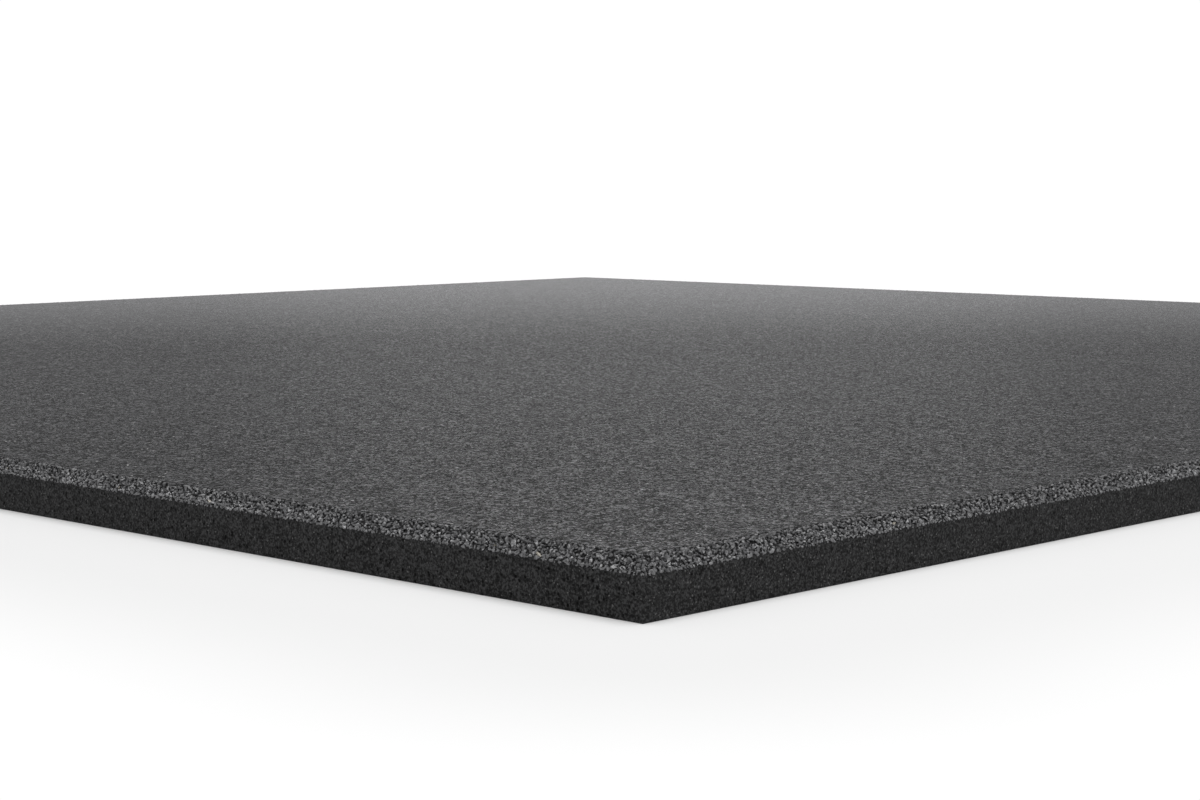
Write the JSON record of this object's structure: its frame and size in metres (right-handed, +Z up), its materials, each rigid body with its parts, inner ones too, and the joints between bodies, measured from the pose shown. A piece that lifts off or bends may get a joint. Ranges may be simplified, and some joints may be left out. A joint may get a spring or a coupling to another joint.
{
  "type": "rubber gym floor tile",
  "caption": "Square flat floor tile of pressed black crumb rubber with a rough 45 degree chamfer round its top edge and square-cut sides, laid edge to edge as impact flooring.",
  "frame": {"origin": "centre of the underside, on the floor that the tile lies on", "axes": "+Z up out of the walking face; the four sides face +X, -X, +Y and -Y"},
  "size_m": [1, 1, 0.015],
  "materials": {
    "crumb_rubber": "matt black pressed crumb rubber: fine flat grain on top, rough open grain on the chamfer, dense cut grain with small pits on the sides"
  },
  "bodies": {
    "root": {"floor_tile": "crumb_rubber"}
  },
  "joints": []
}
